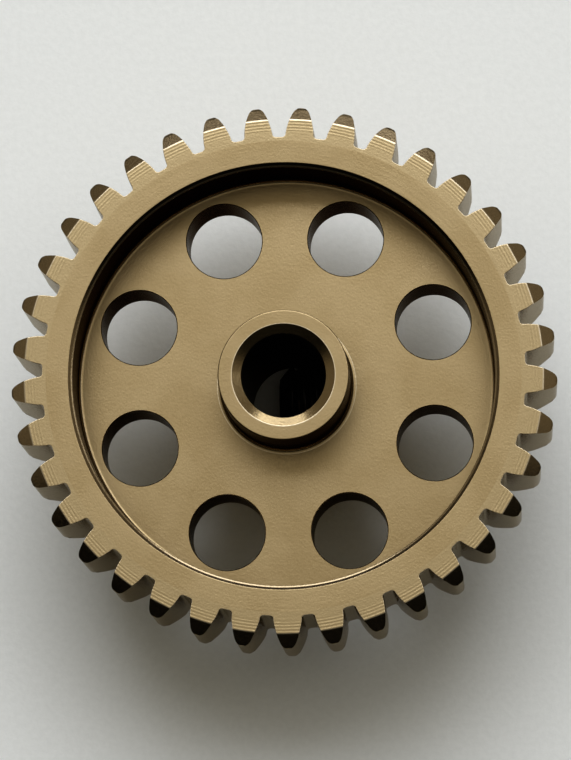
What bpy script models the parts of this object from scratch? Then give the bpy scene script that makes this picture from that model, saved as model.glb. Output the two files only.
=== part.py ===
"""Spur gear for a small motor shaft: toothed pinion body and its clamping grub screw.

Units are metres and +Z is up.  The origin is the centre of the rear hub's end face, and
the bore's axis is the Z axis.  The recessed front face of the gear looks up.
"""

import math

import bmesh
import bpy

MM = 0.001

# Teeth: 48 diametral pitch, 20 degree involute.
TEETH = 37
MODULE = 25.4 * MM / 48
PRESSURE_ANGLE = math.radians(20)
PITCH_RADIUS = TEETH * MODULE / 2
BASE_RADIUS = PITCH_RADIUS * math.cos(PRESSURE_ANGLE)
TIP_RADIUS = PITCH_RADIUS + MODULE
ROOT_RADIUS = PITCH_RADIUS - 1.25 * MODULE
ROOT_FILLET = 0.3 * MODULE
TOOTH_START = math.radians(-2.1)
FLANK_STEPS = 5
FILLET_STEPS = 3

# Lengths along the bore.
TOTAL_LENGTH = 9.2 * MM
FACE_WIDTH = 5.2 * MM
RECESS_DEPTH = 2.75 * MM
TOOTH_BACK_Z = TOTAL_LENGTH - FACE_WIDTH
WEB_FRONT_Z = TOTAL_LENGTH - RECESS_DEPTH

# Turned diameters and edges.
BORE_RADIUS = 3.2 * MM / 2
BORE_FRONT_CHAMFER = 0.35 * MM
BORE_FRONT_DEPTH = 0.20 * MM
BORE_BACK_CHAMFER = 0.25 * MM
BOSS_RADIUS = 4.96 * MM / 2
BOSS_EDGE = 0.05 * MM
BOSS_FILLET = 0.17 * MM
RECESS_RADIUS = 15.95 * MM / 2
RECESS_EDGE = 0.17 * MM
RECESS_FILLET = 0.15 * MM
TIP_FRONT_CHAMFER = 0.53 * MM
TIP_FRONT_DEPTH = 0.33 * MM
TIP_BACK_CHAMFER = 0.90 * MM
TIP_BACK_DEPTH = 1.60 * MM
HUB_RADIUS = 7.8 * MM / 2
HUB_FILLET = 0.30 * MM
HUB_EDGE = 0.30 * MM
OVERSIZE = 0.20 * MM
TURNED_SEGMENTS = 72
CORNER_STEPS = 3

# Lightening holes through the web.
HOLE_COUNT = 8
HOLE_RADIUS = 2.9 * MM / 2
HOLE_CIRCLE_RADIUS = 12.2 * MM / 2
HOLE_START = math.radians(22.5)
HOLE_SEGMENTS = 32

# M3 x 4 cup-point socket set screw, radial in the rear hub, its socket towards +X.
# Its point stands in the bore, a little past the axis.
SCREW_RADIUS = 2.98 * MM / 2
SCREW_CLEARANCE = 0.05 * MM
SCREW_LENGTH = 4.0 * MM
SCREW_Z = 2.0 * MM
SCREW_TIP_X = -0.45 * MM
SCREW_END_CHAMFER = 0.25 * MM
CUP_RADIUS = 0.75 * MM
CUP_DEPTH = 0.35 * MM
SOCKET_ACROSS_FLATS = 1.5 * MM
SOCKET_DEPTH = 1.2 * MM
SCREW_SEGMENTS = 32

# Cutters run this far past the faces they cut.
CUTTER_MARGIN = 1.0 * MM


def clear_scene():
    """Remove every object that the file opened with."""
    for old in list(bpy.data.objects):
        bpy.data.objects.remove(old, do_unlink=True)


def principled(name, colour, metallic, roughness):
    """A plain Principled material."""
    material = bpy.data.materials.new(name)
    material.use_nodes = True
    shader = material.node_tree.nodes["Principled BSDF"]
    shader.inputs["Base Color"].default_value = (*colour, 1.0)
    shader.inputs["Metallic"].default_value = metallic
    shader.inputs["Roughness"].default_value = roughness
    return material


def add_object(name, mesh):
    """Link a new object that holds the mesh."""
    obj = bpy.data.objects.new(name, mesh)
    bpy.context.scene.collection.objects.link(obj)
    return obj


def arc(centre, radius, start, end, steps):
    """Points on an arc in the (radius, height) plane, ends included; angles in degrees."""
    points = []
    for i in range(steps + 1):
        angle = math.radians(start + (end - start) * i / steps)
        x = centre[0] + radius * math.cos(angle)
        z = centre[1] + radius * math.sin(angle)
        points.append((x, z))
    return points


def apply_modifiers(obj):
    """Replace the object's mesh by its evaluated one and drop the modifiers."""
    graph = bpy.context.evaluated_depsgraph_get()
    mesh = bpy.data.meshes.new_from_object(obj.evaluated_get(graph))
    obj.modifiers.clear()
    obj.data = mesh


def turned(name, profile, segments):
    """A profile of (radius, height) points, turned once round the Z axis.

    It runs down its outer side.  One that starts and ends on the axis stays open there;
    any other closes back up its inner side.
    """
    mesh = bpy.data.meshes.new(name)
    verts = [(radius, 0.0, height) for radius, height in profile]
    edges = [(i, i + 1) for i in range(len(profile) - 1)]
    if profile[0][0] > 0:
        edges.append((len(profile) - 1, 0))
    mesh.from_pydata(verts, edges, [])
    obj = add_object(name, mesh)
    screw = obj.modifiers.new("turn", 'SCREW')
    screw.axis = 'Z'
    screw.angle = math.tau
    screw.steps = segments
    screw.render_steps = segments
    screw.use_merge_vertices = True
    screw.merge_threshold = 1e-7
    apply_modifiers(obj)
    return obj


def prism(name, outline, low, high):
    """A flat outline of (x, y) points, extruded from one height to another."""
    mesh = bpy.data.meshes.new(name)
    bm = bmesh.new()
    face = bm.faces.new([bm.verts.new((x, y, low)) for x, y in outline])
    top = bmesh.ops.extrude_face_region(bm, geom=[face])
    moved = [item for item in top["geom"] if isinstance(item, bmesh.types.BMVert)]
    bmesh.ops.translate(bm, verts=moved, vec=(0, 0, high - low))
    bmesh.ops.recalc_face_normals(bm, faces=bm.faces)
    bm.to_mesh(mesh)
    bm.free()
    return add_object(name, mesh)


def regular_outline(radius, sides, centre=(0.0, 0.0)):
    """Corners of a regular polygon."""
    points = []
    for i in range(sides):
        angle = math.tau * i / sides
        x = centre[0] + radius * math.cos(angle)
        y = centre[1] + radius * math.sin(angle)
        points.append((x, y))
    return points


def combine(obj, cutter, operation):
    """Boolean the object with a cutter, then remove the cutter."""
    cutter.hide_render = True
    cutter.display_type = 'WIRE'
    boolean = obj.modifiers.new(operation.lower(), 'BOOLEAN')
    boolean.operation = operation
    boolean.solver = 'EXACT'
    boolean.object = cutter
    bpy.context.view_layer.update()
    apply_modifiers(obj)
    bpy.data.objects.remove(cutter, do_unlink=True)


def finish(obj, material):
    """Give the object its one material and smooth shading between sharp edges."""
    obj.data.materials.clear()
    obj.data.materials.append(material)
    obj.data.shade_smooth()
    obj.data.set_sharp_from_angle(angle=math.radians(25))


def involute(angle):
    """The involute function of a pressure angle."""
    return math.tan(angle) - angle


def half_tooth_angle(radius):
    """Half the tooth's angular thickness at a radius on the involute flank."""
    at_pitch = math.pi / (2 * TEETH) + involute(PRESSURE_ANGLE)
    return at_pitch - involute(math.acos(min(1.0, BASE_RADIUS / radius)))


def polar(radius, angle):
    """A point from its radius and angle."""
    return (radius * math.cos(angle), radius * math.sin(angle))


def root_corner(foot, corner, floor):
    """Points of the curve that rounds the corner between a flank's foot and the root."""
    points = []
    for i in range(1, FILLET_STEPS):
        t = i / FILLET_STEPS
        x = (1 - t) ** 2 * foot[0] + 2 * t * (1 - t) * corner[0] + t * t * floor[0]
        y = (1 - t) ** 2 * foot[1] + 2 * t * (1 - t) * corner[1] + t * t * floor[1]
        points.append((x, y))
    return points


def half_tooth(centre, side):
    """One side of a tooth from the root's floor to the tip; side is -1 or +1."""
    foot_radius = ROOT_RADIUS + ROOT_FILLET
    foot_angle = half_tooth_angle(max(foot_radius, BASE_RADIUS))
    foot = polar(foot_radius, centre + side * foot_angle)
    corner = polar(ROOT_RADIUS, centre + side * foot_angle)
    floor_angle = foot_angle + ROOT_FILLET / ROOT_RADIUS
    floor = polar(ROOT_RADIUS, centre + side * floor_angle)
    points = [floor]
    points += reversed(root_corner(foot, corner, floor))
    for i in range(FLANK_STEPS + 1):
        radius = foot_radius + (TIP_RADIUS - foot_radius) * i / FLANK_STEPS
        angle = half_tooth_angle(max(radius, BASE_RADIUS))
        points.append(polar(radius, centre + side * angle))
    return points


def tooth_ring_outline():
    """The gear's outline, counter-clockwise, tooth by tooth."""
    outline = []
    for i in range(TEETH):
        centre = TOOTH_START + math.tau * i / TEETH
        outline += half_tooth(centre, -1)
        outline.append(polar(TIP_RADIUS, centre))
        outline += reversed(half_tooth(centre, 1))
    return outline


def blank_profile():
    """Half section of the turned blank, down the outside and up through the bore."""
    wide = TIP_RADIUS + OVERSIZE
    front_drop = TIP_FRONT_DEPTH * (TIP_FRONT_CHAMFER + OVERSIZE) / TIP_FRONT_CHAMFER
    back_rise = TIP_BACK_DEPTH * (TIP_BACK_CHAMFER + OVERSIZE) / TIP_BACK_CHAMFER
    fillet_z = TOOTH_BACK_Z - HUB_FILLET
    points = [
        (TIP_RADIUS - TIP_FRONT_CHAMFER, TOTAL_LENGTH),
        (wide, TOTAL_LENGTH - front_drop),
        (wide, TOOTH_BACK_Z + back_rise),
        (TIP_RADIUS - TIP_BACK_CHAMFER, TOOTH_BACK_Z),
    ]
    points += arc((HUB_RADIUS + HUB_FILLET, fillet_z), HUB_FILLET, 90, 180, CORNER_STEPS)
    points += [
        (HUB_RADIUS, HUB_EDGE),
        (HUB_RADIUS - HUB_EDGE, 0.0),
        (BORE_RADIUS + BORE_BACK_CHAMFER, 0.0),
        (BORE_RADIUS, BORE_BACK_CHAMFER),
        (BORE_RADIUS, TOTAL_LENGTH - BORE_FRONT_DEPTH),
        (BORE_RADIUS + BORE_FRONT_CHAMFER, TOTAL_LENGTH),
        (BOSS_RADIUS - BOSS_EDGE, TOTAL_LENGTH),
        (BOSS_RADIUS, TOTAL_LENGTH - BOSS_EDGE),
    ]
    boss_corner = (BOSS_RADIUS + BOSS_FILLET, WEB_FRONT_Z + BOSS_FILLET)
    rim_corner = (RECESS_RADIUS - RECESS_FILLET, WEB_FRONT_Z + RECESS_FILLET)
    points += arc(boss_corner, BOSS_FILLET, 180, 270, CORNER_STEPS)
    points += arc(rim_corner, RECESS_FILLET, 270, 360, CORNER_STEPS)
    points += [
        (RECESS_RADIUS, TOTAL_LENGTH - RECESS_EDGE),
        (RECESS_RADIUS + RECESS_EDGE, TOTAL_LENGTH),
    ]
    return points


def lightening_hole(index):
    """Cutter for one round hole through the web."""
    angle = HOLE_START + math.tau * index / HOLE_COUNT
    centre = polar(HOLE_CIRCLE_RADIUS, angle)
    outline = regular_outline(HOLE_RADIUS, HOLE_SEGMENTS, centre)
    low = TOOTH_BACK_Z - CUTTER_MARGIN
    return prism("hole_cutter", outline, low, WEB_FRONT_Z + CUTTER_MARGIN)


def screw_hole():
    """Cutter for the set screw's hole, from inside the bore out through the hub wall."""
    outline = regular_outline(SCREW_RADIUS + SCREW_CLEARANCE, SCREW_SEGMENTS)
    cutter = prism("screw_hole_cutter", outline, 0.0, HUB_RADIUS + CUTTER_MARGIN)
    cutter.location = (0, 0, SCREW_Z)
    cutter.rotation_euler = (0, math.radians(90), 0)
    return cutter


def make_gear(material):
    """The gear: one machined piece with teeth, rim, web, front boss and rear hub."""
    gear = turned("spur_gear", blank_profile(), TURNED_SEGMENTS)
    low = -CUTTER_MARGIN
    high = TOTAL_LENGTH + CUTTER_MARGIN
    combine(gear, prism("tooth_ring", tooth_ring_outline(), low, high), 'INTERSECT')
    for index in range(HOLE_COUNT):
        combine(gear, lightening_hole(index), 'DIFFERENCE')
    combine(gear, screw_hole(), 'DIFFERENCE')
    finish(gear, material)
    return gear


def screw_profile():
    """Half section of the set screw; its cup point is at height 0, its socket end on top."""
    top = SCREW_LENGTH
    return [
        (0.0, top),
        (SCREW_RADIUS - SCREW_END_CHAMFER, top),
        (SCREW_RADIUS, top - SCREW_END_CHAMFER),
        (SCREW_RADIUS, SCREW_RADIUS - CUP_RADIUS),
        (CUP_RADIUS, 0.0),
        (0.0, CUP_DEPTH),
    ]


def make_set_screw(material):
    """The grub screw: its origin is the point, and its local Z axis points outwards."""
    screw = turned("set_screw", screw_profile(), SCREW_SEGMENTS)
    corner_radius = SOCKET_ACROSS_FLATS / 2 / math.cos(math.radians(30))
    outline = regular_outline(corner_radius, 6)
    low = SCREW_LENGTH - SOCKET_DEPTH
    combine(screw, prism("socket", outline, low, SCREW_LENGTH + CUTTER_MARGIN), 'DIFFERENCE')
    screw.location = (SCREW_TIP_X, 0, SCREW_Z)
    screw.rotation_euler = (0, math.radians(90), 0)
    finish(screw, material)
    return screw


def main():
    clear_scene()
    anodised = principled("hard_anodised_aluminium", (0.42, 0.32, 0.17), 0.9, 0.42)
    black_steel = principled("black_oxide_steel", (0.03, 0.03, 0.033), 0.9, 0.4)
    make_gear(anodised)
    make_set_screw(black_steel)


main()
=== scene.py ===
"""Looks for the spur gear: fine meshes, materials, floor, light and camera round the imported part."""

import math

import bmesh
import bpy
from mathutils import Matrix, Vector


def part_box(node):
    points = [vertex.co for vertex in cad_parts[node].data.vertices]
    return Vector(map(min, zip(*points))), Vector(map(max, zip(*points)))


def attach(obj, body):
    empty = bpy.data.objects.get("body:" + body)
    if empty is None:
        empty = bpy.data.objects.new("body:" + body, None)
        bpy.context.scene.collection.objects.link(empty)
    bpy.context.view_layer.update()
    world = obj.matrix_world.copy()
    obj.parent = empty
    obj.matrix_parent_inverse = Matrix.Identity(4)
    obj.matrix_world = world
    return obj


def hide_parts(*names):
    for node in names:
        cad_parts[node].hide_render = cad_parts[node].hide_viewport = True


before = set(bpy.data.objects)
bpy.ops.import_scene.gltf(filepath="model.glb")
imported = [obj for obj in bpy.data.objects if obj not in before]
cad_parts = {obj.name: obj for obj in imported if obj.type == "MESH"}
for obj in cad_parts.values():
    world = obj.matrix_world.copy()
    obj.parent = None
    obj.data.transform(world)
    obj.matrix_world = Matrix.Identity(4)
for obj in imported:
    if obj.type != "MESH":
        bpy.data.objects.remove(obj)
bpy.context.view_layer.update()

MM = 0.001

# From the frame: the gear's box, and the set screw's box.
gear_low, gear_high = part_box("spur_gear")
screw_low, screw_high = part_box("set_screw")
TOP_Z = gear_high.z
FLOOR_Z = gear_low.z
SCREW_Z = (screw_low.z + screw_high.z) / 2
SCREW_TIP_X = screw_low.x
SCREW_LENGTH = screw_high.x - screw_low.x

# Teeth: the same 48 diametral pitch involute as the CAD gear.
TEETH = 37
MODULE = 25.4 * MM / 48
PRESSURE_ANGLE = math.radians(20)
PITCH_RADIUS = TEETH * MODULE / 2
BASE_RADIUS = PITCH_RADIUS * math.cos(PRESSURE_ANGLE)
TIP_RADIUS = PITCH_RADIUS + MODULE
ROOT_RADIUS = PITCH_RADIUS - 1.25 * MODULE
ROOT_FILLET = 0.3 * MODULE
TOOTH_EXTRA = 0.02 * MM
TOOTH_START = math.radians(-2.1)

# Heights and turned radii, as in the CAD gear.
FACE_WIDTH = 5.2 * MM
RECESS_DEPTH = 2.75 * MM
BACK_Z = TOP_Z - FACE_WIDTH
WEB_Z = TOP_Z - RECESS_DEPTH
BORE_RADIUS = 1.6 * MM
BORE_FRONT_CHAMFER = 0.35 * MM
BORE_FRONT_DEPTH = 0.20 * MM
BORE_BACK_CHAMFER = 0.25 * MM
BOSS_RADIUS = 2.48 * MM
BOSS_EDGE = 0.05 * MM
BOSS_FILLET = 0.17 * MM
RECESS_RADIUS = 7.975 * MM
RECESS_EDGE = 0.17 * MM
RECESS_FILLET = 0.15 * MM
TIP_FRONT_CHAMFER = 0.53 * MM
TIP_FRONT_DEPTH = 0.33 * MM
TIP_BACK_CHAMFER = 0.90 * MM
TIP_BACK_DEPTH = 1.60 * MM
HUB_RADIUS = 3.9 * MM
HUB_FILLET = 0.30 * MM
HUB_EDGE = 0.30 * MM
HOLE_COUNT = 8
HOLE_RADIUS = 1.45 * MM
HOLE_CIRCLE_RADIUS = 6.1 * MM
HOLE_START = math.radians(22.5)

# The recess's edge: a steep outer facet, then a shallow lip, in place of the CAD gear's chamfer.
RECESS_LIP = 0.07 * MM
RECESS_LIP_DEPTH = 0.080 * MM
RECESS_EDGE_DEPTH = 0.118 * MM

# Broken edges that the CAD gear leaves sharp.
EDGE_ROUND = 0.03 * MM
TOOTH_EDGE = 0.02 * MM
TIP_CORNER = 0.20 * MM
HOLE_EDGE = 0.03 * MM

# The rim's front face is dished: it falls away a little inside this radius.
DISH_RADIUS = 8.95 * MM
DISH_SLOPE = math.tan(math.radians(1.2))

# Mesh density.
FLOOR_STEPS = 2
FILLET_STEPS = 7
FLANK_SAMPLES = 60
FLANK_STEPS = 13
TIP_STEPS = 5
CHAMFER_STEPS = 6
COARSE_PER_TOOTH = 6
ROUND_STEPS = 3
ROUND_ANGLE = math.radians(12)
HOLE_SIDES = 72
SCREW_HOLE_SIDES = 64
SMOOTH_ANGLE = math.radians(21)

# Mesh shape: GUARD is the gap between a fillet and the point that keeps the flat beside it flat.
GUARD = 0.02 * MM
TIP_LAND = 0.2
FLANK_CROWDING = 1.6
TOOTH_EDGE_SHARES = (0.0, 0.08, 0.3, 0.62, 1.0)
CHAMFER_END_CUT = 0.3
COLLAR_EVENING = 0.12
CUT_REACH = 0.4 * MM

ALONG_X = (0, math.radians(90), 0)


def polar(radius, angle):
    return (radius * math.cos(angle), radius * math.sin(angle))


def face_drop(radius):
    """How far the dished front face lies below the tooth faces."""
    return DISH_SLOPE * max(0.0, DISH_RADIUS - radius)


def new_object(name, mesh):
    obj = bpy.data.objects.new(name, mesh)
    bpy.context.scene.collection.objects.link(obj)
    return obj


def involute(angle):
    return math.tan(angle) - angle


def half_tooth_angle(radius):
    """Half the tooth's angular thickness at a radius on the involute flank."""
    at_pitch = math.pi / (2 * TEETH) + TOOTH_EXTRA / (2 * PITCH_RADIUS) + involute(PRESSURE_ANGLE)
    return at_pitch - involute(math.acos(min(1.0, BASE_RADIUS / radius)))


def bezier(a, corner, b, steps):
    """Points inside a quadratic curve from a to b, both ends left out."""
    points = []
    for i in range(1, steps):
        t = i / steps
        u = 1 - t
        x = u * u * a[0] + 2 * t * u * corner[0] + t * t * b[0]
        y = u * u * a[1] + 2 * t * u * corner[1] + t * t * b[1]
        points.append((x, y))
    return points


def root_points():
    """From mid-gap to the foot of a tooth's flank, on the + side of a tooth centred on angle 0."""
    foot_radius = ROOT_RADIUS + ROOT_FILLET
    foot_angle = half_tooth_angle(max(foot_radius, BASE_RADIUS))
    floor_angle = foot_angle + ROOT_FILLET / ROOT_RADIUS
    mid_gap = math.pi / TEETH
    points = []
    for i in range(FLOOR_STEPS + 1):
        points.append(polar(ROOT_RADIUS, mid_gap + (floor_angle - mid_gap) * i / FLOOR_STEPS))
    foot = polar(foot_radius, foot_angle)
    return points + bezier(points[-1], polar(ROOT_RADIUS, foot_angle), foot, FILLET_STEPS)


def flank_points():
    """From the flank's foot over the rounded corner to where the full tip circle starts."""
    foot_radius = ROOT_RADIUS + ROOT_FILLET
    top_radius = TIP_RADIUS - TIP_CORNER
    points = []
    for i in range(FLANK_SAMPLES + 1):
        radius = foot_radius + (top_radius - foot_radius) * i / FLANK_SAMPLES
        points.append(polar(radius, half_tooth_angle(max(radius, BASE_RADIUS))))
    tip_angle = half_tooth_angle(TIP_RADIUS)
    corner = polar(TIP_RADIUS, tip_angle)
    land = polar(TIP_RADIUS, TIP_LAND * tip_angle)
    return points + bezier(points[-1], corner, land, FLANK_SAMPLES) + [land]


def offset(points, inset):
    """The run of points from mid-gap to the tip, moved into the tooth."""
    moved = []
    for i, (x, y) in enumerate(points):
        before = points[max(i - 1, 0)]
        after = points[min(i + 1, len(points) - 1)]
        along = Vector((after[0] - before[0], after[1] - before[1])).normalized()
        if i == 0:
            along = Vector((y, -x)).normalized()
        moved.append((x + along.y * inset, y - along.x * inset))
    return moved


def between(a, b, share):
    return (a[0] + share * (b[0] - a[0]), a[1] + share * (b[1] - a[1]))


def half_tooth(limit, inset):
    """One side of an inset tooth, from mid-gap to its centre, turned off at the radius limit."""
    root = root_points()
    outline = offset(root + flank_points(), inset)
    run = []
    for x, y in outline[len(root):]:
        radius = math.hypot(x, y)
        if run and radius > limit - inset:
            last = math.hypot(*run[-1])
            run.append(between(run[-1], (x, y), (limit - inset - last) / (radius - last)))
            break
        run.append((x, y))
    along = [0.0]
    for a, b in zip(run, run[1:]):
        along.append(along[-1] + math.dist(a, b))
    # Resample the flank with its points crowded towards the tip, then add the tip's arc.
    points = outline[:len(root)]
    k = 0
    for i in range(FLANK_STEPS + 1):
        wanted = along[-1] * (1 - (1 - i / FLANK_STEPS) ** FLANK_CROWDING)
        while k < len(along) - 2 and along[k + 1] < wanted:
            k += 1
        points.append(between(run[k], run[k + 1], (wanted - along[k]) / (along[k + 1] - along[k])))
    edge_radius = math.hypot(*run[-1])
    edge_angle = math.atan2(run[-1][1], run[-1][0])
    for i in range(1, TIP_STEPS + 1):
        points.append(polar(edge_radius, edge_angle * (1 - i / TIP_STEPS)))
    return points


def tooth(limit, inset):
    """A whole tooth centred on angle 0, counter-clockwise, its first mid-gap point left out."""
    side = half_tooth(limit, inset)
    loop = [(x, -y) for x, y in side] + [(x, y) for x, y in reversed(side[:-1])]
    return loop[1:]


def ring_of_teeth(limit, inset):
    points = []
    for i in range(TEETH):
        turn = TOOTH_START + math.tau * i / TEETH
        c, s = math.cos(turn), math.sin(turn)
        points += [(c * x - s * y, s * x + c * y) for x, y in tooth(limit, inset)]
    return points


def rounded(corners):
    """A (radius, height) path whose corners are (r, z, fillet radius).

    A guard point on each side of a fillet keeps the shading of the flats beside it flat.
    """
    path = []
    for i, (r, z, fillet) in enumerate(corners):
        here = Vector((r, z))
        if i in (0, len(corners) - 1):
            path.append((r, z))
            continue
        back = (Vector(corners[i - 1][:2]) - here).normalized()
        on = (Vector(corners[i + 1][:2]) - here).normalized()
        half = back.angle(on) / 2
        reach = fillet / math.tan(half)
        centre = here + (back + on).normalized() * fillet / math.sin(half)
        start = here + back * reach - centre
        end = here + on * reach - centre
        sweep = start.angle_signed(end)
        count = max(ROUND_STEPS, int(abs(sweep) / ROUND_ANGLE))
        path.append(tuple(here + back * (reach + GUARD)))
        for k in range(count + 1):
            a = -sweep * k / count
            c, s = math.cos(a), math.sin(a)
            path.append((centre.x + c * start.x - s * start.y, centre.y + s * start.x + c * start.y))
        path.append(tuple(here + on * (reach + GUARD)))
    return path


class Skin:
    """Vertices and faces of one closed mesh, gathered ring by ring."""

    def __init__(self):
        self.verts = []
        self.faces = []

    def pole(self, z):
        """A vertex on the axis."""
        self.verts.append((0, 0, z))
        return len(self.verts) - 1

    def ring(self, points, z):
        """Vertices at one height, or at a list of heights."""
        first = len(self.verts)
        heights = z if isinstance(z, list) else [z] * len(points)
        self.verts += [(x, y, height) for (x, y), height in zip(points, heights)]
        return list(range(first, len(self.verts)))

    def circle(self, radius, z, count, turn=0.0):
        return self.ring([polar(radius, turn + math.tau * i / count) for i in range(count)], z)

    def bridge(self, rings):
        """Quads between each ring and the next, which has the same count."""
        for a, b in zip(rings, rings[1:]):
            n = len(a)
            for i in range(n):
                j = (i + 1) % n
                self.faces.append((a[i], a[j], b[j], b[i]))

    def fan(self, fine, coarse):
        """Faces between a fine ring and a coarse one whose count divides it."""
        n = len(coarse)
        step = len(fine) // n
        for i in range(n):
            j = (i + 1) % n
            run = [fine[(i * step + k) % len(fine)] for k in range(step + 1)]
            self.faces.append((*run, coarse[j], coarse[i]))

    def cap(self, pole, ring):
        """Triangles between a ring and a vertex on the axis."""
        n = len(ring)
        for i in range(n):
            self.faces.append((pole, ring[i], ring[(i + 1) % n]))

    def mesh(self, name):
        mesh = bpy.data.meshes.new(name)
        mesh.from_pydata(self.verts, [], self.faces)
        bm = bmesh.new()
        bm.from_mesh(mesh)
        bmesh.ops.recalc_face_normals(bm, faces=bm.faces)
        bm.to_mesh(mesh)
        bm.free()
        return mesh


def edge_layers(width, depth):
    """(depth, tip limit, inset) from a flat face, over its rounded edge and tip chamfer."""
    cone = TIP_RADIUS - width
    slope = width / depth
    layers = [(0.0, cone, TOOTH_EDGE + GUARD)]
    for share in TOOTH_EDGE_SHARES:
        rest = TOOTH_EDGE * (1 - share)
        inset = TOOTH_EDGE - math.sqrt(TOOTH_EDGE ** 2 - rest ** 2)
        layers.append((share * TOOTH_EDGE, cone + slope * share * TOOTH_EDGE, inset))
    first = TOOTH_EDGE + GUARD
    last = depth - TOOTH_EDGE
    for i in range(CHAMFER_STEPS + 1):
        down = first + (last - first) * i / CHAMFER_STEPS
        layers.append((down, cone + slope * down, 0.0))
    layers.append((depth, TIP_RADIUS - CHAMFER_END_CUT * slope * TOOTH_EDGE, 0.0))
    layers.append((depth + TOOTH_EDGE, TIP_RADIUS, 0.0))
    layers.append((depth + TOOTH_EDGE + GUARD, TIP_RADIUS, 0.0))
    return layers


def turned_path():
    """The turned surfaces from the rim's inner edge, through the bore, to the hub's root."""
    e = EDGE_ROUND
    flat = 3 * e
    rim_edge = RECESS_RADIUS + RECESS_EDGE
    rim_start = rim_edge + flat
    rim_z = TOP_Z - face_drop(rim_edge)
    corners = [
        (rim_start, TOP_Z - face_drop(rim_start), 0),
        (rim_edge, rim_z, e),
        (RECESS_RADIUS + RECESS_LIP, rim_z - RECESS_LIP_DEPTH, e),
        (RECESS_RADIUS, rim_z - RECESS_EDGE_DEPTH, e),
        (RECESS_RADIUS, WEB_Z, RECESS_FILLET),
        (BOSS_RADIUS, WEB_Z, BOSS_FILLET),
        (BOSS_RADIUS, TOP_Z, BOSS_EDGE),
        (BORE_RADIUS + BORE_FRONT_CHAMFER, TOP_Z, e),
        (BORE_RADIUS, TOP_Z - BORE_FRONT_DEPTH, e),
        (BORE_RADIUS, FLOOR_Z + BORE_BACK_CHAMFER, e),
        (BORE_RADIUS + BORE_BACK_CHAMFER, FLOOR_Z, e),
        (HUB_RADIUS - HUB_EDGE, FLOOR_Z, e),
        (HUB_RADIUS, FLOOR_Z + HUB_EDGE, e),
        (HUB_RADIUS, BACK_Z, HUB_FILLET),
        (HUB_RADIUS + HUB_FILLET + flat, BACK_Z, 0),
    ]
    return rounded(corners)


def gear_mesh():
    """Teeth, faces, web, boss, bore and rear hub as one closed skin."""
    skin = Skin()
    front = []
    for depth, limit, inset in edge_layers(TIP_FRONT_CHAMFER, TIP_FRONT_DEPTH):
        points = ring_of_teeth(limit, inset)
        heights = [TOP_Z - depth - face_drop(math.hypot(x, y)) for x, y in points]
        front.append(skin.ring(points, heights))
    back = [
        skin.ring(ring_of_teeth(limit, inset), BACK_Z + depth)
        for depth, limit, inset in edge_layers(TIP_BACK_CHAMFER, TIP_BACK_DEPTH)
    ]
    skin.bridge(front + back[::-1])
    count = TEETH * COARSE_PER_TOOTH
    path = [skin.circle(r, z, count, TOOTH_START) for r, z in turned_path()]
    skin.bridge(path)
    face_rings(skin, front[0], path[0], True)
    face_rings(skin, back[0], path[-1], False)
    return skin.mesh("gear_body")


def face_rings(skin, outer, inner, front):
    """The front or back face, from the teeth's outline in to a turned ring."""
    n = len(outer)
    last = outer
    for ring_radius in (DISH_RADIUS + GUARD, DISH_RADIUS - GUARD):
        z = TOP_Z - face_drop(ring_radius) if front else BACK_Z
        points = []
        for k, index in enumerate(outer):
            x, y, _ = skin.verts[index]
            even = TOOTH_START - math.pi / TEETH + math.tau * (k + 1) / n
            actual = math.atan2(y, x)
            gap = (even - actual + math.pi) % math.tau - math.pi
            points.append(polar(ring_radius, actual + COLLAR_EVENING * gap))
        collar = skin.ring(points, z)
        skin.bridge([last, collar])
        last = collar
    # The turned ring starts at a tooth's centre, and the collar at the gap before it.
    shift = (n // TEETH) // 2 - 1
    start = [last[(k + shift) % n] for k in range(n)]
    skin.fan(start, inner)


def revolved_cutter(name, path, count):
    """A closed solid turned round Z from a path that starts and ends on the axis."""
    skin = Skin()
    low = skin.pole(path[0][1])
    rings = [skin.circle(r, z, count) for r, z in path[1:-1]]
    high = skin.pole(path[-1][1])
    skin.bridge(rings)
    skin.cap(low, rings[0])
    skin.cap(high, rings[-1])
    return new_object(name, skin.mesh(name))


def subtract(obj, cutter):
    boolean = obj.modifiers.new("cut", 'BOOLEAN')
    boolean.operation = 'DIFFERENCE'
    boolean.solver = 'EXACT'
    boolean.object = cutter
    bpy.context.view_layer.update()
    graph = bpy.context.evaluated_depsgraph_get()
    mesh = bpy.data.meshes.new_from_object(obj.evaluated_get(graph))
    obj.modifiers.clear()
    obj.data = mesh
    bpy.data.objects.remove(cutter, do_unlink=True)


def shade(obj):
    obj.data.shade_smooth()
    obj.data.set_sharp_from_angle(angle=SMOOTH_ANGLE)


# (radius, height) of each turned edge whose coat is worn thin and painted with a highlight line, and how near
# it the wear and highlight reach.
WORN_HIGHLIT_CIRCLES = (
    (RECESS_RADIUS + RECESS_EDGE, TOP_Z),
    (RECESS_RADIUS, TOP_Z - RECESS_EDGE_DEPTH - face_drop(RECESS_RADIUS + RECESS_EDGE)),
    (BOSS_RADIUS, TOP_Z),
    (BOSS_RADIUS + BOSS_FILLET, WEB_Z),
    (BORE_RADIUS + BORE_FRONT_CHAMFER, TOP_Z),
    (BORE_RADIUS, TOP_Z - BORE_FRONT_DEPTH),
    (BORE_RADIUS, FLOOR_Z + BORE_BACK_CHAMFER),
    (BORE_RADIUS + BORE_BACK_CHAMFER, FLOOR_Z),
    (HUB_RADIUS - HUB_EDGE, FLOOR_Z),
    (HUB_RADIUS, FLOOR_Z + HUB_EDGE),
)
WORN_HIGHLIT_REACH = 0.6 * EDGE_ROUND
FACE_MARGIN = 0.01 * TOOTH_EDGE
LEVEL_NORMAL = 0.9
HOLE_CENTRES = [
    polar(HOLE_CIRCLE_RADIUS, HOLE_START + math.tau * i / HOLE_COUNT) for i in range(HOLE_COUNT)
]


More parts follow.
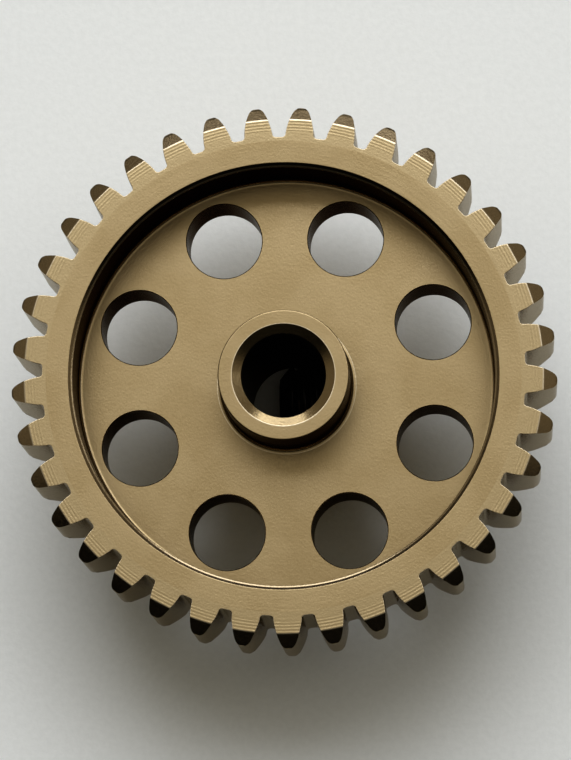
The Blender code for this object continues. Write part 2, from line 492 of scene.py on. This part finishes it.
def is_worn_and_highlit(centre, normal):
    """Whether a face lies on a broken edge, worn and given a painted highlight: a turned one, a tooth outline
    or a hole's mouth.
    """
    radius = math.hypot(centre.x, centre.y)
    for edge_radius, edge_z in WORN_HIGHLIT_CIRCLES:
        if math.hypot(radius - edge_radius, centre.z - edge_z) < WORN_HIGHLIT_REACH:
            return True
    if radius > ROOT_RADIUS - TOOTH_EDGE:
        front = TOP_Z - face_drop(radius) - centre.z
        back = centre.z - BACK_Z
        return FACE_MARGIN < min(front, back) < TOOTH_EDGE
    if abs(centre.z - WEB_Z) > HOLE_EDGE or normal.z > LEVEL_NORMAL:
        return False
    for x, y in HOLE_CENTRES:
        if HOLE_RADIUS < math.hypot(centre.x - x, centre.y - y) < HOLE_RADIUS + HOLE_EDGE:
            return True
    return False


def mark_edges(mesh):
    """Give every face the share of wear and painted highlight that the finish reads: 1 on a broken edge, else
    0.
    """
    wear_and_highlight = mesh.attributes.new("worn_highlit_edge", 'FLOAT', 'FACE')
    shares = [float(is_worn_and_highlit(face.center, face.normal)) for face in mesh.polygons]
    wear_and_highlight.data.foreach_set("value", shares)


# The set screw's hole in the hub, with a countersunk mouth.
SCREW_HOLE_RADIUS = 1.53 * MM
SCREW_MOUTH = 0.12 * MM
SCREW_MOUTH_START = HUB_RADIUS - 2.2 * SCREW_MOUTH
SCREW_MOUTH_END = HUB_RADIUS - 1.2 * SCREW_MOUTH


def make_gear():
    gear = new_object("gear_body", gear_mesh())
    flare = HOLE_RADIUS + HOLE_EDGE + CUT_REACH
    path = [
        (0, BACK_Z - CUT_REACH),
        (flare, BACK_Z - CUT_REACH),
        (HOLE_RADIUS, BACK_Z + HOLE_EDGE),
        (HOLE_RADIUS, WEB_Z - HOLE_EDGE),
        (flare, WEB_Z + CUT_REACH),
        (0, WEB_Z + CUT_REACH),
    ]
    for x, y in HOLE_CENTRES:
        cutter = revolved_cutter("hole_cutter", path, HOLE_SIDES)
        cutter.location = (x, y, 0)
        subtract(gear, cutter)
    path = [
        (0, 0),
        (SCREW_HOLE_RADIUS, 0),
        (SCREW_HOLE_RADIUS, SCREW_MOUTH_START),
        (SCREW_HOLE_RADIUS + SCREW_MOUTH + CUT_REACH, SCREW_MOUTH_END + CUT_REACH),
        (0, SCREW_MOUTH_END + CUT_REACH),
    ]
    cutter = revolved_cutter("screw_cutter", path, SCREW_HOLE_SIDES)
    cutter.location = (0, 0, SCREW_Z)
    cutter.rotation_euler = ALONG_X
    subtract(gear, cutter)
    shade(gear)
    mark_edges(gear.data)
    return gear


# Set screw, M3 x 0.5, with a cup point and a hexagon socket.
SCREW_RADIUS = 1.485 * MM
SCREW_CHAMFER = 0.28 * MM
SCREW_SIDES = 60
THREAD_PITCH = 0.5 * MM
THREAD_DEPTH = 0.28 * MM
THREAD_ROOT = 0.12
THREAD_FLANK = 0.70
RINGS_PER_PITCH = 10
POINT_EDGE = 0.12 * MM
POINT_SLOPE = 1.2
CUP_RADIUS = 0.75 * MM
CUP_DEPTH = 0.35 * MM
CUP_HALFWAY = (0.5, 0.62)
CUP_RIM_IN = 0.02 * MM
CUP_RIM_OUT = 0.03 * MM
SOCKET_FLATS = 1.5 * MM
SOCKET_DEPTH = 1.2 * MM
SOCKET_LIP = 0.06 * MM
SOCKET_FLOOR_RADIUS = SOCKET_FLATS * 0.46
SOCKET_DRILL_POINT = 0.25 * MM
SIXTH = math.radians(60)


def thread_radius(height, angle):
    """The screw's radius at a height along it and an angle round it."""
    phase = (height / THREAD_PITCH - angle / math.tau) % 1.0
    ridge = 1 - abs(2 * phase - 1)
    form = min(1.0, max(0.0, (ridge - THREAD_ROOT) / THREAD_FLANK))
    radius = SCREW_RADIUS - THREAD_DEPTH * (1 - form)
    cone_out = SCREW_RADIUS - SCREW_CHAMFER + (SCREW_LENGTH - height)
    cone_in = CUP_RADIUS + POINT_EDGE + height * POINT_SLOPE
    return min(radius, cone_out, cone_in)


def hexagon_radius(angle):
    """Distance from the socket's axis to its wall at an angle."""
    within = (angle + SIXTH / 2) % SIXTH - SIXTH / 2
    return SOCKET_FLATS / 2 / math.cos(within)


def make_screw():
    """Threaded cup-point set screw; local Z runs from its point to its socket."""
    skin = Skin()
    angles = [math.tau * i / SCREW_SIDES for i in range(SCREW_SIDES)]
    count = int(SCREW_LENGTH / THREAD_PITCH * RINGS_PER_PITCH)
    radius_share, depth_share = CUP_HALFWAY
    cup = skin.pole(CUP_DEPTH)
    rings = [skin.circle(CUP_RADIUS * radius_share, CUP_DEPTH * depth_share, SCREW_SIDES)]
    rings.append(skin.circle(CUP_RADIUS - CUP_RIM_IN, CUP_RIM_IN, SCREW_SIDES))
    rings.append(skin.circle(CUP_RADIUS + CUP_RIM_OUT, 0.0, SCREW_SIDES))
    for k in range(count + 1):
        height = SCREW_LENGTH * k / count
        rings.append(skin.ring([polar(thread_radius(height, a), a) for a in angles], height))
    mouth = [polar(hexagon_radius(a) + SOCKET_LIP, a) for a in angles]
    wall = [polar(hexagon_radius(a), a) for a in angles]
    floor = SCREW_LENGTH - SOCKET_DEPTH
    rings.append(skin.ring(mouth, SCREW_LENGTH))
    rings.append(skin.ring(wall, SCREW_LENGTH - SOCKET_LIP))
    rings.append(skin.ring(wall, floor))
    rings.append(skin.circle(SOCKET_FLOOR_RADIUS, floor, SCREW_SIDES))
    drill = skin.pole(floor - SOCKET_DRILL_POINT)
    skin.bridge(rings)
    skin.cap(cup, rings[0])
    skin.cap(drill, rings[-1])
    screw = new_object("grub_screw", skin.mesh("grub_screw"))
    screw.location = (SCREW_TIP_X, 0, SCREW_Z)
    screw.rotation_euler = ALONG_X
    shade(screw)
    return screw


class Nodes:
    """A node tree, with short calls that add and link its nodes."""

    def __init__(self, tree):
        self.tree = tree

    def add(self, kind):
        return self.tree.nodes.new(kind)

    def feed(self, socket, value):
        """Link an output to a socket, or set the socket to a number, colour or vector."""
        if isinstance(value, bpy.types.NodeSocket):
            self.tree.links.new(value, socket)
        else:
            socket.default_value = value

    def math(self, operation, *values):
        node = self.add("ShaderNodeMath")
        node.operation = operation
        for socket, value in zip(node.inputs, values):
            self.feed(socket, value)
        return node.outputs[0]

    def split(self, vector):
        node = self.add("ShaderNodeSeparateXYZ")
        self.feed(node.inputs[0], vector)
        return node.outputs

    def join(self, x, y, z):
        node = self.add("ShaderNodeCombineXYZ")
        for socket, value in zip(node.inputs, (x, y, z)):
            self.feed(socket, value)
        return node.outputs[0]

    def step(self, value, low, high, start=0.0, end=1.0):
        """Smoothly from start to end as the value goes from low to high."""
        node = self.add("ShaderNodeMapRange")
        node.interpolation_type = 'SMOOTHSTEP'
        self.feed(node.inputs["Value"], value)
        for name, number in (("From Min", low), ("From Max", high), ("To Min", start), ("To Max", end)):
            self.feed(node.inputs[name], number)
        return node.outputs["Result"]

    def noise(self, vector, size, detail=2.0, roughness=0.5):
        """Noise whose features measure about size metres in the vector's units."""
        node = self.add("ShaderNodeTexNoise")
        self.feed(node.inputs["Vector"], vector)
        node.inputs["Scale"].default_value = 1 / size
        node.inputs["Detail"].default_value = detail
        node.inputs["Roughness"].default_value = roughness
        return node.outputs["Fac"]

    def mix(self, share, a, b):
        node = self.add("ShaderNodeMix")
        node.data_type = 'RGBA'
        self.feed(node.inputs["Factor"], share)
        for name, value in (("A", a), ("B", b)):
            socket = next(s for s in node.inputs if s.name == name and s.type == 'RGBA')
            self.feed(socket, (*value, 1) if isinstance(value, tuple) else value)
        return next(s for s in node.outputs if s.type == 'RGBA')

    def bump(self, height, depth, normal=None):
        """A relief whose height output of 1 stands depth metres proud."""
        node = self.add("ShaderNodeBump")
        node.inputs["Distance"].default_value = depth
        self.feed(node.inputs["Height"], height)
        if normal is not None:
            self.feed(node.inputs["Normal"], normal)
        return node.outputs["Normal"]

    def attribute(self, name):
        node = self.add("ShaderNodeAttribute")
        node.attribute_name = name
        return node.outputs["Fac"]

    def background(self, colour, strength):
        node = self.add("ShaderNodeBackground")
        node.inputs["Color"].default_value = (*colour, 1)
        self.feed(node.inputs["Strength"], strength)
        return node.outputs[0]


class Finish(Nodes):
    """A Principled material and its nodes."""

    def __init__(self, name, colour, metallic, roughness):
        self.material = bpy.data.materials.new(name)
        self.material.use_nodes = True
        super().__init__(self.material.node_tree)
        self.inputs = self.tree.nodes["Principled BSDF"].inputs
        self.inputs["Base Color"].default_value = (*colour, 1)
        self.inputs["Metallic"].default_value = metallic
        self.inputs["Roughness"].default_value = roughness
        coordinates = self.add("ShaderNodeTexCoord")
        self.position = coordinates.outputs["Object"]
        self.normal = coordinates.outputs["Normal"]

    def radius(self):
        """Distance from the object's own Z axis."""
        x, y, _ = self.split(self.position)
        return self.math('SQRT', self.math('ADD', self.math('MULTIPLY', x, x), self.math('MULTIPLY', y, y)))


# The hard coat: bronze brown and yellower on the tooth faces, with painted shade darkening the bored walls, a
# painted reflection paling the outer chamfers and a painted highlight on the worn edges.
COAT = (0.334, 0.259, 0.148)
COAT_DEEP = (0.300, 0.229, 0.125)
COAT_TEETH = (0.342, 0.269, 0.157)
COAT_WALL_SHADE = (0.105, 0.070, 0.032)
COAT_BEVEL_REFLECTION = (0.38, 0.30, 0.19)
COAT_WORN_HIGHLIT = (0.72, 0.64, 0.50)
FULL_SHEEN = (1.0, 1.0, 1.0)
WALL_SHADE_SHEEN = (0.14, 0.10, 0.05)
FLANK_SHEEN = (0.62, 0.58, 0.50)
GRAIN_STAIN = 0.45
WEAR_AND_HIGHLIGHT = 0.5

# Its parts, by how much of a surface's normal points along the axis, and their soft borders.
FLAT_FACING = (0.90, 0.98)
BEVEL_FROM = (0.60, 0.68)
BEVEL_TO = (0.90, 0.94)
WALL_FACING = (0.20, 0.40)
BORDER = 0.1 * MM
TEETH_BORDER = 0.06 * MM
RIM_BORDER = 0.05 * MM

# Its marks: feature sizes, and heights of their relief.
CLOUD_SIZE = 2.2 * MM
GRAIN_SIZE = 0.09 * MM
GRAIN_RELIEF = 0.0040 * MM
MARK_SIZE = 1.6 * MM
MARK_STRETCH = 16.0
MARK_RELIEF = 0.006 * MM
MARK_ON_FLAT = 0.12
MARK_ON_RIM = 0.22
LINE_START = 9.25 * MM
LINE_RISE = 0.2 * MM
LINE_PITCH = 0.12 * MM
LINE_RELIEF = 0.0011 * MM
COAT_ROUGHNESS = 0.34
ROUGHNESS_RANGE = (0.31, 0.38)
BEVEL_SMOOTHER = 0.14
WALL_SMOOTHER = 0.12


def anodised():
    """Hard anodised aluminium: turning marks on the flat faces, satin grain all over."""
    finish = Finish("hard_anodised_aluminium", COAT, 1.0, COAT_ROUGHNESS)
    radius = finish.radius()
    x, y, height = finish.split(finish.position)
    _, _, up = finish.split(finish.normal)
    up = finish.math('ABSOLUTE', up)
    flat = finish.step(up, *FLAT_FACING)
    bevel = finish.math('MULTIPLY', finish.step(up, *BEVEL_FROM), finish.step(up, *BEVEL_TO, 1, 0))
    wall = finish.step(up, *WALL_FACING, 1, 0)
    teeth = finish.math('MULTIPLY', flat, finish.step(radius, DISH_RADIUS, DISH_RADIUS + TEETH_BORDER))
    rim = finish.math('MULTIPLY', flat, finish.step(radius, RECESS_RADIUS, RECESS_RADIUS + RIM_BORDER))

    # Painted shade on the bored walls: the bore, and what lies above the hub and inside the teeth.
    inside = finish.step(radius, BORE_RADIUS + BORDER, BORE_RADIUS + 2 * BORDER, 1, 0)
    inside = finish.math('MAXIMUM', inside, finish.step(height, BACK_Z - BORDER, BACK_Z))
    inside = finish.math('MULTIPLY', inside, finish.step(radius, ROOT_RADIUS - 2 * BORDER, ROOT_RADIUS, 1, 0))
    bore_shade = finish.math('MULTIPLY', wall, inside)

    # Colour: cloudy and grainy, yellower on the tooth faces, with painted shade on the bored walls, a painted
    # reflection on the outer bevels, and wear plus a painted highlight on the broken edges.
    cloud = finish.noise(finish.position, CLOUD_SIZE)
    grain = finish.noise(finish.position, GRAIN_SIZE, 3.0, 0.6)
    colour = finish.mix(finish.step(cloud, 0.35, 0.65), COAT, COAT_DEEP)
    colour = finish.mix(teeth, colour, COAT_TEETH)
    # Painted shade: the bored walls get a near-black coat colour.
    colour = finish.mix(bore_shade, colour, COAT_WALL_SHADE)
    # Painted reflection: a paler, greyer coat on the tip chamfers and the recess's edge bevel.
    outer = finish.step(radius, RECESS_RADIUS - 2 * BORDER, RECESS_RADIUS - BORDER)
    colour = finish.mix(finish.math('MULTIPLY', bevel, outer), colour, COAT_BEVEL_REFLECTION)
    colour = finish.mix(finish.step(grain, 0.35, 0.75, 0.0, GRAIN_STAIN), colour, COAT_DEEP)
    # Wear and a painted highlight: the broken edges turn pale.
    wear_and_highlight = finish.math('MULTIPLY', finish.attribute("worn_highlit_edge"), WEAR_AND_HIGHLIGHT)
    finish.feed(finish.inputs["Base Color"], finish.mix(wear_and_highlight, colour, COAT_WORN_HIGHLIT))
    sheen = finish.mix(wall, FULL_SHEEN, FLANK_SHEEN)
    # Painted shade in the reflection too: the bored walls get a dark specular tint.
    finish.feed(finish.inputs["Specular Tint"], finish.mix(bore_shade, sheen, WALL_SHADE_SHEEN))

    # Turning marks: noise along the radius, nearly constant round the axis.
    along = finish.join(finish.math('MULTIPLY', radius, MARK_STRETCH), x, y)
    marks = finish.noise(along, MARK_SIZE, 2.0, 0.7)
    on_flat = finish.math('MULTIPLY', flat, MARK_ON_FLAT)
    weight = finish.math('ADD', on_flat, finish.math('MULTIPLY', rim, MARK_ON_RIM))
    relief = finish.bump(finish.math('MULTIPLY', marks, weight), MARK_RELIEF)

    # A few regular tool lines on the tooth faces, next to the tip chamfer.
    wave = finish.math('SINE', finish.math('MULTIPLY', radius, math.tau / LINE_PITCH))
    lined = finish.math('MULTIPLY', teeth, finish.step(radius, LINE_START, LINE_START + LINE_RISE))
    relief = finish.bump(finish.math('MULTIPLY', wave, lined), LINE_RELIEF, relief)
    finish.feed(finish.inputs["Normal"], finish.bump(grain, GRAIN_RELIEF, relief))

    rough = finish.step(grain, 0.3, 0.7, *ROUGHNESS_RANGE)
    rough = finish.math('SUBTRACT', rough, finish.math('MULTIPLY', bevel, BEVEL_SMOOTHER))
    rough = finish.math('SUBTRACT', rough, finish.math('MULTIPLY', wall, WALL_SMOOTHER))
    finish.feed(finish.inputs["Roughness"], rough)
    return finish.material


def black_steel():
    """Black oxide on steel, worn a little brighter in patches."""
    finish = Finish("black_oxide_steel", (0.03, 0.03, 0.033), 0.9, 0.4)
    patches = finish.noise(finish.position, 0.5 * MM, 3.0, 0.6)
    grain = finish.noise(finish.position, 0.05 * MM, 2.0)
    dark, worn = (0.022, 0.022, 0.025), (0.075, 0.072, 0.070)
    finish.feed(finish.inputs["Base Color"], finish.mix(finish.step(patches, 0.5, 0.75), dark, worn))
    finish.feed(finish.inputs["Roughness"], finish.step(patches, 0.3, 0.7, 0.34, 0.5))
    finish.feed(finish.inputs["Normal"], finish.bump(grain, 0.002 * MM))
    return finish.material


def paper():
    """Plain paper with a faint fibre texture."""
    finish = Finish("pale_paper", (0.80, 0.81, 0.78), 0.0, 0.9)
    fibre = finish.noise(finish.position, 0.25 * MM, 4.0, 0.6)
    dark, light = (0.79, 0.805, 0.79), (0.82, 0.835, 0.82)
    finish.feed(finish.inputs["Base Color"], finish.mix(finish.step(fibre, 0.3, 0.7), dark, light))
    finish.feed(finish.inputs["Normal"], finish.bump(fibre, 0.01 * MM))
    return finish.material


FLOOR_HALF = 0.6


def make_floor():
    mesh = bpy.data.meshes.new("paper")
    corners = ((-1, -1), (1, -1), (1, 1), (-1, 1))
    mesh.from_pydata([(FLOOR_HALF * x, FLOOR_HALF * y, FLOOR_Z) for x, y in corners], [], [(0, 1, 2, 3)])
    mesh.materials.append(paper())
    floor = new_object("paper_floor", mesh)


# Softboxes: name, compass angle from +X, elevation, width, height, power.
SOFTBOXES = (
    ("window_low", 90, 32, 0.50, 0.22, 0.96),
    ("window_high", 90, 58, 0.50, 0.30, 1.68),
    ("right", 25, 50, 0.30, 0.30, 0.25),
    ("left", 155, 50, 0.30, 0.30, 0.06),
)
SOFTBOX_DISTANCE = 0.6
WINDOW_COLOUR = (0.97, 1.0, 1.06)


def make_softboxes():
    for name, compass, elevation, width, height, power in SOFTBOXES:
        data = bpy.data.lights.new(name, 'AREA')
        data.shape = 'RECTANGLE'
        data.size = width
        data.size_y = height
        data.energy = power
        data.color = WINDOW_COLOUR
        box = new_object(name, data)
        x, y = polar(math.cos(math.radians(elevation)), math.radians(compass))
        towards = Vector((x, y, math.sin(math.radians(elevation))))
        box.location = towards * SOFTBOX_DISTANCE
        box.rotation_euler = towards.to_track_quat('Z', 'Y').to_euler()


# Sky: a glow overhead, and a room seen from ROOM_SIDE in Y and from ROOM_ABOVE in Z upwards.
SKY_TOP = 0.41
SKY_COLOUR = (1.0, 0.97, 0.84)
SKY_SPREAD = 8.0
ROOM_FILL = 0.25
ROOM_COLOUR = (1.0, 0.88, 0.66)
ROOM_SIDE = (-0.35, 0.05)
ROOM_ABOVE = (0.08, 0.32)
BACKDROP = 0.6


def make_sky():
    """A soft glow overhead, a warm room that is dark towards -Y, and a plain pale backdrop."""
    world = bpy.data.worlds.new("studio")
    bpy.context.scene.world = world
    world.use_nodes = True
    sky = Nodes(world.node_tree)
    _, y, z = sky.split(sky.add("ShaderNodeTexCoord").outputs["Generated"])
    glow = sky.math('EXPONENT', sky.math('MULTIPLY_ADD', z, SKY_SPREAD, -SKY_SPREAD))
    overhead = sky.background(SKY_COLOUR, sky.math('MULTIPLY', glow, SKY_TOP))
    fill = sky.math('MULTIPLY', sky.step(y, *ROOM_SIDE, 0.0, ROOM_FILL), sky.step(z, *ROOM_ABOVE))
    room = sky.background(ROOM_COLOUR, fill)
    both = sky.add("ShaderNodeAddShader")
    sky.feed(both.inputs[0], overhead)
    sky.feed(both.inputs[1], room)
    seen = sky.add("ShaderNodeMixShader")
    sky.feed(seen.inputs[0], sky.add("ShaderNodeLightPath").outputs["Is Camera Ray"])
    sky.feed(seen.inputs[1], both.outputs[0])
    backdrop = sky.tree.nodes["Background"]
    backdrop.inputs["Color"].default_value = (1.0, 1.0, 1.0, 1)
    backdrop.inputs["Strength"].default_value = BACKDROP
    sky.feed(seen.inputs[2], backdrop.outputs[0])
    sky.feed(sky.tree.nodes["World Output"].inputs["Surface"], seen.outputs[0])


# Camera: a long lens, tilted a little off the bore's axis towards -Y.
CAMERA_OFFSET = Vector((8.5750, -25.9935, 173.7827)) * MM
CAMERA_TILT = (0.14713, 0.048795)
CAMERA_ROLL = -0.011991
LENS_MM = 221.2
SENSOR_MM = 36
CLIP_START = 0.01
CLIP_END = 10


def make_camera():
    data = bpy.data.cameras.new("camera")
    data.lens = LENS_MM
    data.sensor_width = SENSOR_MM
    data.clip_start = CLIP_START
    data.clip_end = CLIP_END
    camera = new_object("camera", data)
    c, s = math.cos(CAMERA_ROLL), math.sin(CAMERA_ROLL)
    x, y, z = CAMERA_OFFSET
    camera.location = (c * x - s * y, s * x + c * y, TOP_Z + z)
    camera.rotation_euler = (*CAMERA_TILT, CAMERA_ROLL)
    bpy.context.scene.camera = camera


make_camera()
make_floor()
make_softboxes()
make_sky()

gear = make_gear()
gear.data.materials.clear()
gear.data.materials.append(anodised())
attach(gear, "gear")
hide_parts("spur_gear")

screw = make_screw()
screw.data.materials.append(black_steel())
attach(screw, "screw")
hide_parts("set_screw")

bpy.context.scene.view_settings.view_transform = 'Standard'
bpy.context.scene.view_settings.look = 'Medium High Contrast'
